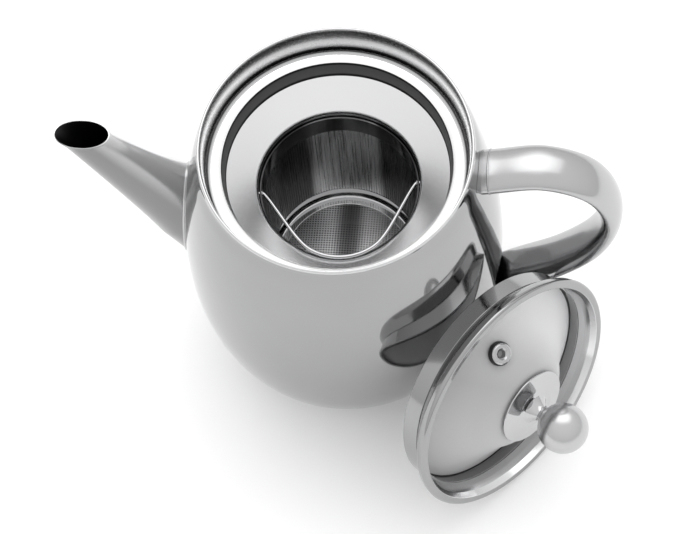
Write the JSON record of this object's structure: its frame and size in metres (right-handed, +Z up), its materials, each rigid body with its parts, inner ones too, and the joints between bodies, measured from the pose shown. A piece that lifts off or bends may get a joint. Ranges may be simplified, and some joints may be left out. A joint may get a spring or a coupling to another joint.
{
  "type": "teapot with infuser",
  "caption": "Polished steel teapot with a tapered spout, a loop handle, a lift-out mesh infuser with a wire bail, and a glass lid with a ball knob leaning beside it.",
  "frame": {"origin": "centre of the base disc's underside, on the table", "axes": "+Z up, +X from the pot's axis towards the handle, the spout points along -X, the lid stands on the -Y side"},
  "size_m": [0.215, 0.1598, 0.146],
  "materials": {
    "polished_steel": "mirror polished stainless steel",
    "satin_steel": "satin stainless steel",
    "steel_mesh": "fine woven or etched stainless mesh",
    "seal": "matt dark grey silicone",
    "black_silicone": "matt black silicone",
    "glass": "clear tempered glass, lightly tinted grey by what is behind it"
  },
  "bodies": {
    "pot": {"body_bottom": "polished_steel", "body_lower_wall": "polished_steel", "body_upper_wall": "polished_steel", "base_disc": "satin_steel", "neck_collar": "polished_steel", "spout": "polished_steel", "spout_weld_ring": "polished_steel", "handle_grip": "polished_steel", "handle_top_socket": "polished_steel", "handle_lower_socket": "polished_steel"},
    "infuser": {"infuser_rim": "polished_steel", "infuser_seal": "seal", "infuser_funnel": "satin_steel", "basket_band": "polished_steel", "basket_mesh": "steel_mesh", "basket_bottom_ring": "polished_steel", "basket_floor_mesh": "steel_mesh"},
    "bail": {"bail_wire": "polished_steel"},
    "lid": {"lid_ring": "polished_steel", "lid_skirt": "polished_steel", "lid_glass": "glass", "lid_seal": "seal", "knob_disc": "polished_steel", "knob_stem": "polished_steel", "knob_ball": "polished_steel", "knob_screw": "satin_steel", "knob_washer": "satin_steel", "vent_gasket": "black_silicone", "vent_grommet": "polished_steel"}
  },
  "joints": [
    {"name": "infuser_lift", "type": "slide", "parent": "pot", "child": "infuser", "axis": [0, 0, 1], "range_m": [0, 0.12]},
    {"name": "bail_swing", "type": "hinge", "parent": "infuser", "child": "bail", "pos_m": [0, 0, 0.1125], "axis": [-0.9914, -0.1305, 0], "range_deg": [0, 158]},
    {"name": "lid_lift", "type": "slide", "parent": "pot", "child": "lid", "axis": [0, 0, 1], "range_m": [0, 0.15]}
  ]
}
